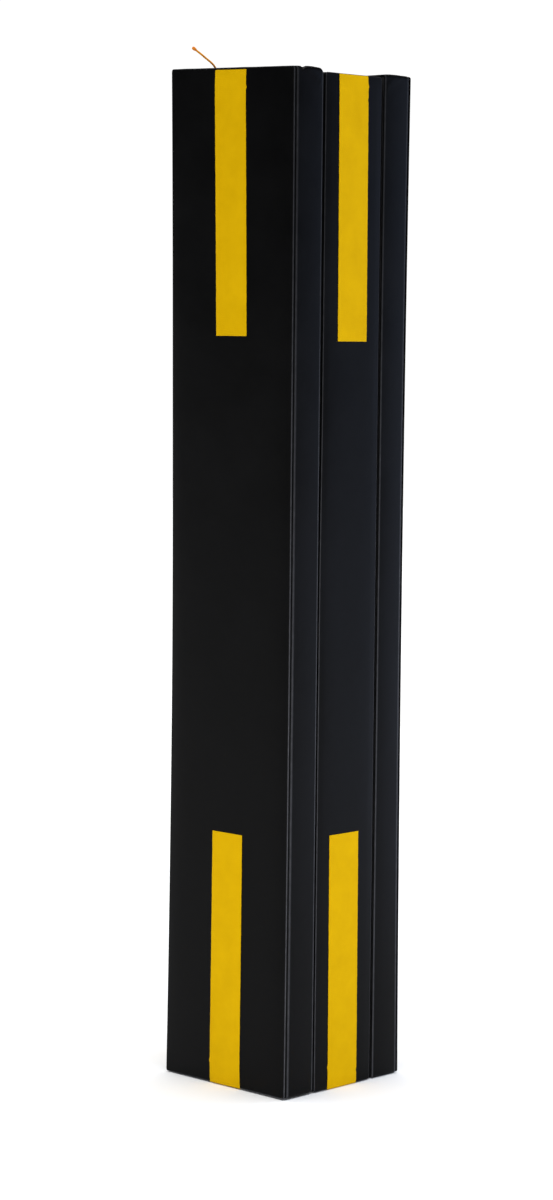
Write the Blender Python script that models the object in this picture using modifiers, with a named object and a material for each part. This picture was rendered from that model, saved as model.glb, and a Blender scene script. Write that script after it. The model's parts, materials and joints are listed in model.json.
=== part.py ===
"""Wrap-around padded protector for a square post.

Four foam pads in boxed vinyl covers stand round a square post space. Each cover is a face panel, an inner
panel and a band round the edges. Folded vinyl strips join the pads at three corners, so the wrap opens into
a chain. The fourth corner closes with hook and loop strips, and a short orange cord at its top peels it
open. Yellow strips mark the top and the bottom of every pad.

Metres, +Z up. The origin is on the floor in the middle of the post space. The front pad faces -Y.
"""

import math

import bmesh
import bpy
from mathutils import Matrix, Vector

# Driving dimensions.
OUTER_WIDTH = 0.200  # across two opposite faces
HEIGHT = 1.200  # of the wide pads
NARROW_PAD_DROP = 0.004  # how much shorter the narrow pads are
PAD_THICKNESS = 0.0485
JOINT_GAP = 0.003  # between two neighbouring pads
VINYL_THICKNESS = 0.0009
BAND_CORNER_RADIUS = 0.002
CORE_EDGE_RADIUS = 0.004
TAPE_WIDTH = 0.050
TAPE_LENGTH = 0.305
TAPE_THICKNESS = 0.0004
TAPE_END_INSET = 0.0015  # from a pad's top or bottom edge to the tape's end
HINGE_STRIP_THICKNESS = 0.0008
HINGE_LEAF_DEPTH = 0.022  # from the fold into the joint
HINGE_FOLD_INSET = 0.001  # from the pads' outer faces in to the fold
HINGE_END_INSET = 0.006
CLOSURE_WIDTH = 0.030
CLOSURE_BOTTOM_INSET = 0.020
CLOSURE_TOP_INSET = 0.040
CORD_DIAMETER = 0.0025
KNOT_RADIUS = 0.0022
KNOT_LENGTH = 0.0056

CLEARANCE = 0.0003  # between pieces that touch on the real object
SEAM_GAP = 0.0006  # between a panel and the edge band that it is sewn to

# Worked out from those.
HALF = OUTER_WIDTH / 2
WIDE_PAD = OUTER_WIDTH
NARROW_PAD = OUTER_WIDTH - 2 * PAD_THICKNESS - 2 * JOINT_GAP
NARROW_HEIGHT = HEIGHT - NARROW_PAD_DROP
JOINT_OFFSET = HALF - PAD_THICKNESS - JOINT_GAP / 2  # a joint's middle, from the post's axis
FABRIC_IN_JOINT = JOINT_GAP - 2 * CLEARANCE  # what a folded hinge strip measures across
CLOSURE_THICKNESS = (JOINT_GAP - 3 * CLEARANCE) / 2
CLOSURE_MIDDLE = HALF - PAD_THICKNESS / 2

# Each pad: its width and height, its quarter turn about the post from the front, and how far its tape sits
# off centre.
PADS = {
    "front": (WIDE_PAD, HEIGHT, 0, -0.002),
    "right": (NARROW_PAD, NARROW_HEIGHT, 1, 0.001),
    "back": (WIDE_PAD, HEIGHT, 2, 0.001),
    "left": (NARROW_PAD, NARROW_HEIGHT, 3, -0.001),
}

# Each moving pad: the pad that it hinges on, and the place of the vertical hinge axis.
HINGES = {
    "right": ("front", Vector((HALF, -JOINT_OFFSET, 0))),
    "back": ("right", Vector((HALF, JOINT_OFFSET, 0))),
    "left": ("back", Vector((-HALF, JOINT_OFFSET, 0))),
}

# The cord's route: up out of the closing joint, then leaning out over the corner.
CORD_X = -CLOSURE_MIDDLE
CORD_ROUTE = (
    (CORD_X, -JOINT_OFFSET, HEIGHT - 0.025),
    (CORD_X, -JOINT_OFFSET, HEIGHT - 0.012),
    (CORD_X, -JOINT_OFFSET, HEIGHT),
    (CORD_X - 0.0005, -JOINT_OFFSET - 0.0005, HEIGHT + 0.0060),
    (CORD_X - 0.0017, -JOINT_OFFSET - 0.0017, HEIGHT + 0.0110),
    (CORD_X - 0.0046, -JOINT_OFFSET - 0.0046, HEIGHT + 0.0160),
    (CORD_X - 0.0094, -JOINT_OFFSET - 0.0094, HEIGHT + 0.0215),
    (CORD_X - 0.0136, -JOINT_OFFSET - 0.0136, HEIGHT + 0.0264),
    (CORD_X - 0.0175, -JOINT_OFFSET - 0.0175, HEIGHT + 0.0306),
)
CORD_POINT_SPACING = 2 * CORD_DIAMETER

# Materials: colour, roughness.
MATERIALS = {
    "black_vinyl": ((0.012, 0.012, 0.014, 1), 0.42),
    "yellow_tape": ((0.66, 0.39, 0.01, 1), 0.55),
    "foam": ((0.55, 0.55, 0.53, 1), 0.95),
    "backing_vinyl": ((0.02, 0.02, 0.022, 1), 0.6),
    "hinge_vinyl": ((0.008, 0.008, 0.009, 1), 0.5),
    "hook_and_loop": ((0.02, 0.02, 0.02, 1), 0.95),
    "orange_cord": ((0.8, 0.25, 0.03, 1), 0.6),
    "melted_cord_end": ((0.55, 0.13, 0.02, 1), 0.35),
}


def clear_scene():
    for old in list(bpy.data.objects):
        bpy.data.objects.remove(old, do_unlink=True)


def new_material(part_name, kind):
    """A material of the part's own, with the colour and roughness of its kind."""
    colour, roughness = MATERIALS[kind]
    material = bpy.data.materials.new(part_name)
    material.use_nodes = True
    shader = material.node_tree.nodes["Principled BSDF"]
    shader.inputs["Base Color"].default_value = colour
    shader.inputs["Roughness"].default_value = roughness
    shader.inputs["Metallic"].default_value = 0.0
    return material


def new_object(name, data, kind, collection):
    part = bpy.data.objects.new(name, data)
    data.materials.append(new_material(name, kind))
    collection.objects.link(part)
    return part


def box_mesh(name, low, high):
    """A closed box between two corners, as a bmesh that the caller finishes."""
    size = Vector(high) - Vector(low)
    middle = (Vector(high) + Vector(low)) / 2
    box = bmesh.new()
    bmesh.ops.create_cube(box, size=1.0)
    bmesh.ops.scale(box, vec=size, verts=box.verts)
    bmesh.ops.translate(box, vec=middle, verts=box.verts)
    mesh = bpy.data.meshes.new(name)
    return mesh, box


def finish_mesh(mesh, box):
    box.to_mesh(mesh)
    box.free()
    return mesh


def add_bevel(part, width, segments):
    bevel = part.modifiers.new("rounded_edges", "BEVEL")
    bevel.width = width
    bevel.segments = segments
    bevel.limit_method = "ANGLE"
    return bevel


def place(part, pivot, world_place, quarter_turns):
    """Puts a part, modelled at the front, at its place round the post, under its pad's pivot."""
    part.parent = pivot
    part.location = Vector(world_place) - pivot_place(pivot)
    part.rotation_euler = (0, 0, quarter_turns * math.pi / 2)


def pivot_place(pivot):
    """Where a pivot is in the world. Pivots only shift, so their places add up."""
    place_sum = Vector((0, 0, 0))
    while pivot is not None:
        place_sum += pivot.location
        pivot = pivot.parent
    return place_sum


def make_pivots(collection):
    """One empty for each pad. A moving pad's empty is on its hinge axis, under the pad that it hinges on."""
    pivots = {"front": bpy.data.objects.new("front_pad_root", None)}
    collection.objects.link(pivots["front"])
    for pad, (carrier, axis_place) in HINGES.items():
        pivot = bpy.data.objects.new(pad + "_pad_pivot", None)
        collection.objects.link(pivot)
        pivot.parent = pivots[carrier]
        pivot.location = axis_place - pivot_place(pivots[carrier])
        pivots[pad] = pivot
    return pivots


def make_edge_band(pad, width, height, collection):
    """The band sewn round the pad's four edges, from the face panel back to the inner panel."""
    name = pad + "_pad_edge_band"
    low = (-width / 2, -HALF, 0)
    high = (width / 2, -HALF + PAD_THICKNESS, height)
    mesh, box = box_mesh(name, low, high)
    broad_sides = [face for face in box.faces if abs(face.normal.y) > 0.5]
    bmesh.ops.delete(box, geom=broad_sides, context="FACES_ONLY")
    band = new_object(name, finish_mesh(mesh, box), "black_vinyl", collection)
    add_bevel(band, BAND_CORNER_RADIUS, 3)
    shell = band.modifiers.new("vinyl_thickness", "SOLIDIFY")
    shell.thickness = VINYL_THICKNESS
    shell.offset = -1
    shell.use_even_offset = True
    return band


def make_panel(pad, side, width, height, outermost, kind, collection):
    """A flat panel inside the edge band. outermost is its face nearer to the front."""
    name = pad + "_pad_" + side + "_panel"
    inset = VINYL_THICKNESS + SEAM_GAP
    low = (-width / 2 + inset, outermost, inset)
    high = (width / 2 - inset, outermost + VINYL_THICKNESS, height - inset)
    mesh, box = box_mesh(name, low, high)
    return new_object(name, finish_mesh(mesh, box), kind, collection)


def make_core(pad, width, height, collection):
    """The foam block inside the cover."""
    name = pad + "_pad_foam_core"
    inset = VINYL_THICKNESS + CLEARANCE
    low = (-width / 2 + inset, -HALF + inset, inset)
    high = (width / 2 - inset, -HALF + PAD_THICKNESS - inset, height - inset)
    mesh, box = box_mesh(name, low, high)
    core = new_object(name, finish_mesh(mesh, box), "foam", collection)
    add_bevel(core, CORE_EDGE_RADIUS, 3)
    return core


def make_tape(pad, end, height, shift, collection):
    """One yellow strip, flat on the face panel at the pad's top or bottom."""
    name = pad + "_pad_" + end + "_tape"
    bottom = TAPE_END_INSET
    if end == "top":
        bottom = height - TAPE_END_INSET - TAPE_LENGTH
    outer = -HALF - CLEARANCE
    low = (shift - TAPE_WIDTH / 2, outer - TAPE_THICKNESS, bottom)
    high = (shift + TAPE_WIDTH / 2, outer, bottom + TAPE_LENGTH)
    mesh, box = box_mesh(name, low, high)
    return new_object(name, finish_mesh(mesh, box), "yellow_tape", collection)


def make_pads(pivots, collection):
    inner_panel_start = -HALF + PAD_THICKNESS - VINYL_THICKNESS
    for pad, (width, height, quarter_turns, shift) in PADS.items():
        pieces = [
            make_edge_band(pad, width, height, collection),
            make_panel(pad, "face", width, height, -HALF, "black_vinyl", collection),
            make_panel(pad, "inner", width, height, inner_panel_start, "backing_vinyl", collection),
            make_core(pad, width, height, collection),
            make_tape(pad, "top", height, shift, collection),
            make_tape(pad, "bottom", height, shift, collection),
        ]
        for piece in pieces:
            place(piece, pivots[pad], (0, 0, 0), quarter_turns)


def arc(centre_x, radius, start_degrees, end_degrees, steps):
    points = []
    for i in range(steps + 1):
        angle = math.radians(start_degrees + (end_degrees - start_degrees) * i / steps)
        points.append((centre_x + radius * math.cos(angle), radius * math.sin(angle)))
    return points


def hinge_outline():
    """A strip folded once, seen from above: its fold touches the local origin and both leaves run to -X."""
    outside = FABRIC_IN_JOINT / 2
    inside = outside - HINGE_STRIP_THICKNESS
    fold_x = -outside
    leaf_end = -HINGE_LEAF_DEPTH
    outline = [(leaf_end, -outside)]
    outline += arc(fold_x, outside, -90, 90, 8)
    outline += [(leaf_end, outside), (leaf_end, inside)]
    outline += arc(fold_x, inside, 90, -90, 6)
    outline += [(leaf_end, -inside)]
    return outline


def make_hinge_strip(name, pivot, joint_place, quarter_turns, collection):
    curve = bpy.data.curves.new(name, "CURVE")
    curve.dimensions = "2D"
    curve.fill_mode = "BOTH"
    curve.extrude = HEIGHT / 2 - HINGE_END_INSET
    points = hinge_outline()
    spline = curve.splines.new("POLY")
    spline.points.add(len(points) - 1)
    for point, (x, y) in zip(spline.points, points):
        point.co = (x, y, 0, 1)
    spline.use_cyclic_u = True
    strip = new_object(name, curve, "hinge_vinyl", collection)
    place(strip, pivot, joint_place + Vector((0, 0, HEIGHT / 2)), quarter_turns)
    return strip


def make_hinge_strips(pivots, collection):
    """Each strip stays on the pad that carries the hinge. Its fold is just inside the outer faces."""
    for pad, (carrier, axis_place) in HINGES.items():
        name = "hinge_strip_" + carrier + "_" + pad
        side = math.copysign(1, axis_place.x)
        fold_place = axis_place - Vector((side * HINGE_FOLD_INSET, 0, 0))
        quarter_turns = 0 if side > 0 else 2
        make_hinge_strip(name, pivots[carrier], fold_place, quarter_turns, collection)


def make_closure_strip(name, pivot, near_face, far_face, collection):
    low = (-CLOSURE_MIDDLE - CLOSURE_WIDTH / 2, near_face, CLOSURE_BOTTOM_INSET)
    high = (-CLOSURE_MIDDLE + CLOSURE_WIDTH / 2, far_face, HEIGHT - CLOSURE_TOP_INSET)
    mesh, box = box_mesh(name, low, high)
    strip = new_object(name, finish_mesh(mesh, box), "hook_and_loop", collection)
    place(strip, pivot, (0, 0, 0), 0)
    return strip


def make_closure(pivots, collection):
    """Hook and loop, face to face in the joint between the front and the left pad."""
    loop_back = -HALF + PAD_THICKNESS + CLEARANCE
    loop_front = loop_back + CLOSURE_THICKNESS
    hook_front = loop_front + CLEARANCE
    hook_back = hook_front + CLOSURE_THICKNESS
    make_closure_strip("closure_loop_strip", pivots["front"], loop_back, loop_front, collection)
    make_closure_strip("closure_hook_strip", pivots["left"], hook_front, hook_back, collection)


def smooth_route(route, spacing):
    """Points about spacing apart along a smooth curve through the route's points."""
    knots = [Vector(p) for p in route]
    knots = [2 * knots[0] - knots[1]] + knots + [2 * knots[-1] - knots[-2]]
    points = [knots[1]]
    for before, start, end, after in zip(knots, knots[1:], knots[2:], knots[3:]):
        steps = max(1, math.ceil((end - start).length / spacing))
        for i in range(1, steps + 1):
            t = i / steps
            straight = 2 * start + (end - before) * t
            bend = (2 * before - 5 * start + 4 * end - after) * t**2
            twist = (3 * start - before - 3 * end + after) * t**3
            points.append((straight + bend + twist) / 2)
    return points


def make_cord(pivot, collection):
    """The pull cord, and the knot with its melted tip at the free end."""
    points = smooth_route(CORD_ROUTE, CORD_POINT_SPACING)
    curve = bpy.data.curves.new("pull_cord", "CURVE")
    curve.dimensions = "3D"
    curve.bevel_depth = CORD_DIAMETER / 2
    curve.bevel_resolution = 2
    curve.use_fill_caps = True
    spline = curve.splines.new("POLY")
    spline.points.add(len(points) - 1)
    for point, place_on_route in zip(spline.points, points):
        point.co = (*place_on_route, 1)
    cord = new_object("pull_cord", curve, "orange_cord", collection)
    place(cord, pivot, (0, 0, 0), 0)

    way_out = (points[-1] - points[-2]).normalized()
    mesh = bpy.data.meshes.new("pull_cord_knot")
    knot_mesh = bmesh.new()
    bmesh.ops.create_uvsphere(knot_mesh, u_segments=12, v_segments=8, radius=KNOT_RADIUS)
    stretch = KNOT_LENGTH / (2 * KNOT_RADIUS)
    bmesh.ops.scale(knot_mesh, vec=(1, 1, stretch), verts=knot_mesh.verts)
    turn = way_out.to_track_quat("Z", "Y").to_matrix().to_4x4()
    middle = points[-1] + way_out * (KNOT_LENGTH / 2 + CLEARANCE)
    bmesh.ops.transform(knot_mesh, matrix=Matrix.Translation(middle) @ turn, verts=knot_mesh.verts)
    finish_mesh(mesh, knot_mesh)
    mesh.shade_smooth()
    knot = new_object("pull_cord_knot", mesh, "melted_cord_end", collection)
    place(knot, pivot, (0, 0, 0), 0)


def main():
    clear_scene()
    collection = bpy.data.collections.new("padded_post_protector")
    bpy.context.scene.collection.children.link(collection)
    pivots = make_pivots(collection)
    make_pads(pivots, collection)
    make_hinge_strips(pivots, collection)
    make_closure(pivots, collection)
    make_cord(pivots["left"], collection)


main()
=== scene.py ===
"""Looks of the wrap-around padded post protector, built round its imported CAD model.

Each of the four pads gets a sewn vinyl cover (face panel, edge band and inner panel), a foam core and
two yellow tape strips. Folded hinge strips bend across three joints, hook and loop strips close the
fourth, and a short orange cord with a melted tip peels that one open.

Metres, +Z up. A pad is shaped as it stands at the front, facing -Y, then turned to its place.
"""

import json
import math
from types import SimpleNamespace

import bpy
import numpy as np
from mathutils import Matrix, Vector, noise


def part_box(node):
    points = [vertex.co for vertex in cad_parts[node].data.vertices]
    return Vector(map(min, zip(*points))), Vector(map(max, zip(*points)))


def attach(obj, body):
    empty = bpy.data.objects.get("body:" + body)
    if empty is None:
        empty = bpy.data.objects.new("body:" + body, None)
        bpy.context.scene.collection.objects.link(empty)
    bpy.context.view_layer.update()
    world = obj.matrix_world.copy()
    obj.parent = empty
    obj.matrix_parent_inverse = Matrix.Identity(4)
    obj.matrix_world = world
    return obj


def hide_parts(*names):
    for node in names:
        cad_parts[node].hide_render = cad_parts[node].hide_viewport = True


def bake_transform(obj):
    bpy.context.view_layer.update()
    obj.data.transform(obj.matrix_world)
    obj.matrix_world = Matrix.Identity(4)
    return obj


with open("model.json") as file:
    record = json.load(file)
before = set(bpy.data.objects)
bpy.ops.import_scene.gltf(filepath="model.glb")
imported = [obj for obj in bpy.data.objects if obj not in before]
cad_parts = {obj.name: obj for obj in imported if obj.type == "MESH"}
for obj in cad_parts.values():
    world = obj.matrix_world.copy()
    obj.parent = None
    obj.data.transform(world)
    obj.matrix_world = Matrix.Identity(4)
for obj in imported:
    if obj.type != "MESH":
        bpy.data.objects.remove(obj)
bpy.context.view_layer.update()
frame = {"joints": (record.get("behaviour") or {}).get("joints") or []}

# The pads, in quarter turns about the post from the front.
PADS = {"front": 0, "right": 1, "back": 2, "left": 3}
HINGES = (("front", "right"), ("right", "back"), ("back", "left"))

# Covers.
VINYL = 0.0009  # thickness
FOLD_RADIUS = 0.0011  # where the face panel turns over the pad's edge
BACK_RADIUS = 0.0012  # where the band turns onto the pad's back
BAND_CORNER = 0.003  # radius of the pad's corners, seen from its face
GRID_STEP = 0.006
EDGE_STEPS = (0, 0.0002, 0.0005, 0.0011, 0.0018, 0.003, 0.0045, 0.0065, 0.009, 0.012, 0.0155, 0.02)
FOLD_ANGLES = (60, 75, 90)  # the rings of that fold, after the 45 degrees that the flat grid turns itself
# The seam, as (depth behind the face, how far in from the side): down the panel's edge, then up the band's.
PANEL_DIP = (
    (0.0014, 0),
    (0.0018, 0.0002),
    (0.0021, 0.0006),
    (0.0024, 0.0013),
    (0.0026, 0.0021),
    (0.003, 0.0023),
)
BAND_DIP = (
    (0.0031, 0.0023),
    (0.0035, 0.0021),
    (0.0038, 0.0013),
    (0.0041, 0.0006),
    (0.0045, 0.0002),
    (0.0052, 0),
)
BACK_HEM = ((0, 0.0019), (0.0003, 0.0024), (0.0012, 0.0028))  # (how deep in the back, how far in)
HEM_WIDTH = 0.0027
HEM_DIP = 0.0006
BAND_STEP = 0.0026
BAND_SWELL = {"front": 0.0005, "right": 0.0, "back": 0.0008, "left": 0.0}  # at the middle of the band
BAND_FULLNESS = 0.7  # below 1, the swell is flatter across its middle
PUCKER = 0.00013  # how far the seams wander
PUCKER_REACH = 0.004
PUCKER_WAVES = (0.031, 0.047, 0.083)
FACE_SWELL = 0.0014  # the most that a wide pad's face panel may swell; less on a narrow one
INNER_SWELL = 0.0008  # only where an inner panel faces the post
CORE_INSET = 0.0036
CORE_RADIUS = 0.004
CORE_EDGE = (0, 0.0012, 0.0026, 0.004)
CORE_STEPS = (0.012, 0.02)

# The folded corners at the pads' tops.
CORNER_SHARE = {"front": 1.0, "right": 0.5, "back": 0.1, "left": 0.6}  # of the full fold
CORNER_REACH = 0.035  # in from the pad's side
CORNER_HEIGHT = 0.010
VALLEY_PLACE, VALLEY_WIDTH, VALLEY_DEPTH = 0.0135, 0.0021, 0.0036  # the place is behind the face
CROWN_PLACE, CROWN_WIDTH, CROWN_HEIGHT = 0.030, 0.014, 0.0009
BACK_REACH, BACK_DROP = 0.0045, 0.0034  # the reach is from the pad's back
CREASES = (0.015, 0.023)  # where each starts, behind the face
CREASE_SLOPE = 0.55
CREASE_WIDTH, CREASE_HEIGHT = 0.0016, 0.0006
CREASE_FADE = 0.006  # length over which each rises from its start

# Cloth simulation of the face panels.
CLOTH_STEP = 0.0085
CLOTH_FRAMES = 20
CLOTH_PRESSURE = 4.0
CLOTH_LUMPS = (0.0006, 0.06)  # height and size of the unevenness that it starts with
NOISE_STEPS = (7.3, 3.1, 5.7)  # how far apart two seeds' noise is taken

# The covers sit slightly slack, so the wrap is narrower at mid-height than at its ends.
WAIST = 0.0208  # share of the width
WAIST_LEAN = 0.0020  # and how far it leans to +X there
FRONT_WAIST = 0.0016  # how far the front face draws in there
BACK_WAIST = 0.0034  # and the back face
FRONT_RISE = 0.0061  # how much higher the front pad's top left corner is
RISE_REACH = 0.2
FRONT_FLARE = 0.0019  # how far the front pad's left edge leans out in its upper part
FLARE_START = 0.35  # share of the height
FLARE_SPAN = 0.4  # share of the height over which it grows
TOP_SWELL = {"front": 0.0007, "right": 0.0016, "back": 0.0008, "left": 0.0012}
TOP_SWELL_REACH = 0.03
RIGHT_LEAN = 0.0014  # how far the right pad's near side draws back in its upper half
RIGHT_LEAN_SPAN = 0.2  # height over which that grows
BACK_SLACK = 0.0016  # how far the back pad's inner side draws back
BACK_SLACK_TOP = 0.0012  # and how much more at its top
BACK_SLACK_REACH = 0.02
FOOT_LIFT = 0.0009  # how much higher the front pad's bottom right corner is
FOOT_REACH = 0.05

# Painted highlights along the folds and the seams' shoulders, as a share from 0 to 1.
FOLD_HIGHLIGHT = 1.0
SHOULDER_HIGHLIGHT = 0.65
SHOULDER_DEPTH = 0.005
BACK_HIGHLIGHT = ((-0.0016, 0), (-0.0008, 0.36))  # before the band's turn onto the back
BACK_TURN_HIGHLIGHT = ((0, 0.6), (22, 0.6), (45, 0.4), (68, 0.16), (90, 0))  # by angle
HIGHLIGHT_WIDTH = 0.0007
PAD_HIGHLIGHT = {"front": 1.0, "right": 0.8, "back": 0.9, "left": 0.8}
TOP_HIGHLIGHT = 0.45  # share of the painted highlight that is left towards the top
HIGHLIGHT_FROM = 0.45  # height from which it lessens
HIGHLIGHT_TO = 1.0  # and up to which it does

# Tape strips.
TAPE_THICKNESS = 0.0004
TAPE_LIFT = 0.00012  # its back, off the vinyl
RIB_PITCH = 0.0024
RIB_HEIGHT = 0.00004
WAVE_BANDS = 3.2  # in a metre of a Wave texture of scale 1
TAPE_ROW = RIB_PITCH / 4
TAPE_EDGE = (0, 0.006, 0.02)  # columns near each side, as shares of the width
TAPE_INSIDE = (0.06, 0.94, 12)  # first, last and count of the columns between them
TAPE_UNDER = 0.0008  # how far round the pad's lower fold a bottom strip goes on
TAPE_WANDER = 0.00022  # unevenness of the cut sides
TAPE_WAVES = (0.007, 0.019, 0.061)
# How far across each strip was laid off its place: at its lower end and at its upper end.
TAPE_LEAN = {
    ("front", "top"): (0.0034, 0.0004),
    ("front", "bottom"): (0.0041, 0.0031),
    ("right", "top"): (-0.0003, -0.0024),
    ("right", "bottom"): (-0.0022, -0.0039),
    ("back", "top"): (0.0006, -0.0009),
    ("back", "bottom"): (-0.0008, 0.0005),
    ("left", "top"): (-0.0012, 0.0004),
    ("left", "bottom"): (0.0010, 0.0003),
}
# How far up from their places its lower end and its upper end were cut.
TAPE_ENDS = {
    ("front", "top"): (-0.0004, -0.0010),
    ("front", "bottom"): (0, -0.0011),
    ("right", "top"): (-0.0016, 0.0009),
    ("right", "bottom"): (0, -0.0004),
}
# Nicks where a strip was cut: side, distance from the pad's end, and how far the nick stands out.
TAPE_NICKS = {
    ("front", "top"): ((1, 0.022, 0.0011),),
    ("right", "top"): ((1, 0.012, 0.0012), (1, 0.027, -0.0008)),
    ("front", "bottom"): ((-1, 0.027, 0.0010),),
    ("right", "bottom"): ((-1, 0.027, 0.0010), (1, 0.016, -0.0009)),
}
NICK_SIZE = 0.0022

# Hinge strips and closure.
STRIP_THICKNESS = 0.0008
STRIP_ROW = 0.012
STRIP_RECESS = 0.0006  # how far the fold sits in from the CAD strip's
STRIP_TURN = (12, 10)  # points round the outside and the inside of the fold
STRIP_LEAF = 6  # points along a leaf
PILE_STEP = 0.0015
PILE_HEIGHT = 0.00018
PILE_LUMPS = (0.1, 1.0)  # the lowest and the highest, as shares of that
SELVEDGE = 0.0022  # flat woven edge of a hook or loop strip

# Pull cord: its route is the CAD one.
CORD_DIAMETER = 0.0025
CORD_STRANDS = 3
CORD_TWIST_PITCH = 0.008
CORD_GROOVE = 0.16  # depth between the strands, as a share of the radius
CORD_SIDES = 24
CORD_STEP = 0.0006
TIP_RADIUS = 0.86 * CORD_DIAMETER
TIP_WAIST = (0.10, 3.2)  # how much it swells and thins, and how often along its length
TIP_LUMPS = (0.00028, 0.0014)  # height, size
TIP_SIDES = 24
TIP_RINGS = 18

# Colours, each from its darker to its lighter patches.
FACE_BLACK = ((0.0009, 0.0009, 0.0010), (0.0016, 0.0016, 0.0018))
BACKING_BLACK = ((0.010, 0.010, 0.011), (0.017, 0.017, 0.018))
HINGE_BLACK = ((0.0012, 0.0012, 0.0012), (0.0026, 0.0026, 0.0026))
PILE_BLACK = ((0.006, 0.006, 0.006), (0.03, 0.03, 0.03))
# The grey that the folds and seam shoulders are lightened towards, as a painted highlight.
PAINTED_HIGHLIGHT_GREY = (0.095, 0.097, 0.108)
TAPE_YELLOW = ((0.60, 0.352, 0.0006), (0.66, 0.394, 0.0016))
FOAM_GREY = ((0.40, 0.40, 0.38), (0.58, 0.57, 0.54))
ORANGE = ((0.84, 0.30, 0.012), (1.0, 0.42, 0.03))
MELTED_ORANGE = ((0.88, 0.23, 0.01), (1.0, 0.34, 0.02))
FLOOR_WHITE = ((0.90, 0.90, 0.90), (0.93, 0.93, 0.93))

# Camera.
CAMERA_AZIMUTH = math.radians(44.014)
CAMERA_ELEVATION = math.radians(5.122)
CAMERA_ROLL = math.radians(0.566)
CAMERA_LENS = 90.9
CAMERA_PLACE = Vector((2.514, -2.6196, 0.9023))

# Stage.
FLOOR_HALF = 9.0
FLOOR_DROP = 0.0009  # below the lowest fold of the covers
KEY_LIGHTS = {4: 14, 84: 20, 184: 14, 264: 20}  # azimuth: power


# -------- places


def turned(points, quarter_turns):
    """Points turned about the post by quarter turns."""
    x, y, z = np.asarray(points, float).T
    for _ in range(quarter_turns % 4):
        x, y = -y, x
    return np.stack([x, y, z], axis=1)


def front_box(node, pad):
    """A CAD node's box, turned back to where the node would be on the front pad."""
    corners = turned(np.array(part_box(node)), -PADS[pad])
    return corners.min(axis=0), corners.max(axis=0)


def pad_space(pad):
    """The size and place of a pad, as it would stand at the front."""
    low, high = front_box(f"{pad}_pad_edge_band", pad)
    return SimpleNamespace(
        name=pad,
        left=low[0],
        right=high[0],
        outer=low[1],
        inner=high[1],
        low=low[2],
        top=high[2],
    )


WHOLE = pad_space("front")
JOINT_Y = abs(frame["joints"][0]["pos_m"][1])


def settled(points, pad=None):
    """World points after the covers' slack: the waist, the swelled tops and what a pad has of its own."""
    x, y, z = np.array(points, float).T
    middle = (WHOLE.top + WHOLE.low) / 2
    waist = np.clip(1 - ((z - middle) / middle) ** 2, 0, 1)
    beyond_joint = np.clip((np.abs(y) - JOINT_Y) / (WHOLE.right - JOINT_Y), 0, None)
    at_end = np.clip((z - WHOLE.top + TOP_SWELL_REACH) / TOP_SWELL_REACH, 0, 1) ** 2
    if pad == "front":
        near_top = np.clip((z - WHOLE.top + RISE_REACH) / RISE_REACH, 0, None) ** 2
        to_left = (WHOLE.right - x) / (WHOLE.right - WHOLE.left)
        z = z + FRONT_RISE * to_left * near_top
        upper = np.clip((z - FLARE_START * WHOLE.top) / (FLARE_SPAN * WHOLE.top), 0, 1)
        x = x - FRONT_FLARE * to_left**2 * upper**2 * (3 - 2 * upper)
        near_foot = np.clip(1 - z / FOOT_REACH, 0, 1)
        z = z + FOOT_LIFT * (1 - to_left) * near_foot
    if pad == "right":
        toward_front = np.clip((JOINT_Y - y) / (2 * JOINT_Y), 0, 1)
        y = y + RIGHT_LEAN * np.clip((z - middle) / RIGHT_LEAN_SPAN, 0, 1) * toward_front
    if pad == "back":
        toward_inner = np.clip(1 - (y - JOINT_Y) / BACK_SLACK_REACH, 0, 1)
        toward_top = np.clip(z / middle - 1, 0, 1) ** 3
        y = y + (BACK_SLACK + BACK_SLACK_TOP * toward_top) * toward_inner
    z = z + TOP_SWELL.get(pad, 0) * at_end
    y = y + np.where(y < 0, FRONT_WAIST, -BACK_WAIST) * waist * beyond_joint
    x = x * (1 - WAIST * waist) + WAIST_LEAN * waist
    return np.stack([x, y, z], axis=1)


def in_world(points, pad):
    """A pad's points, from where they would be at the front to where they are."""
    return settled(turned(points, PADS[pad]), pad)


# -------- mesh helpers


def spread_out(low, high, step, edge_steps=EDGE_STEPS):
    """Places from low to high: close together near both ends, then about step apart."""
    edge = np.array(edge_steps)
    count = max(2, round((high - low - 2 * edge[-1]) / step))
    middle = np.linspace(low + edge[-1], high - edge[-1], count + 1)[1:-1]
    return np.concatenate([low + edge, middle, (high - edge)[::-1]])


def grid_faces(rows, columns):
    """Quads of a grid of points, row by row."""
    corner = (np.arange(rows - 1)[:, None] * columns + np.arange(columns - 1)).ravel()
    return np.stack([corner, corner + 1, corner + columns + 1, corner + columns], axis=1)


def rim_of_grid(rows, columns):
    """The grid's outer points, going round once."""
    last = columns * (rows - 1)
    bottom = np.arange(columns)
    right = np.arange(2, rows + 1) * columns - 1
    top = np.arange(last + columns - 2, last - 1, -1)
    left = np.arange(last - columns, 0, -columns)
    return np.concatenate([bottom, right, top, left])


def ring_faces(shallow, deep):
    """Quads between two rings of points that have the same count."""
    return np.stack([shallow, deep, np.roll(deep, -1), np.roll(shallow, -1)], axis=1)


def tube_faces(rings):
    """Quads along a tube of rings of points."""
    return [face for a, b in zip(rings, rings[1:]) for face in ring_faces(a, b)[:, ::-1]]


def new_piece(name, points, faces, material=None, smooth=True):
    """A mesh object of these points and faces, in the scene."""
    mesh = bpy.data.meshes.new(name)
    mesh.from_pydata(np.asarray(points).tolist(), [], [[int(i) for i in face] for face in faces])
    mesh.validate()
    if smooth:
        mesh.shade_smooth()
    if material:
        mesh.materials.append(material)
    piece = bpy.data.objects.new(name, mesh)
    bpy.context.scene.collection.objects.link(piece)
    return piece


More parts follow.
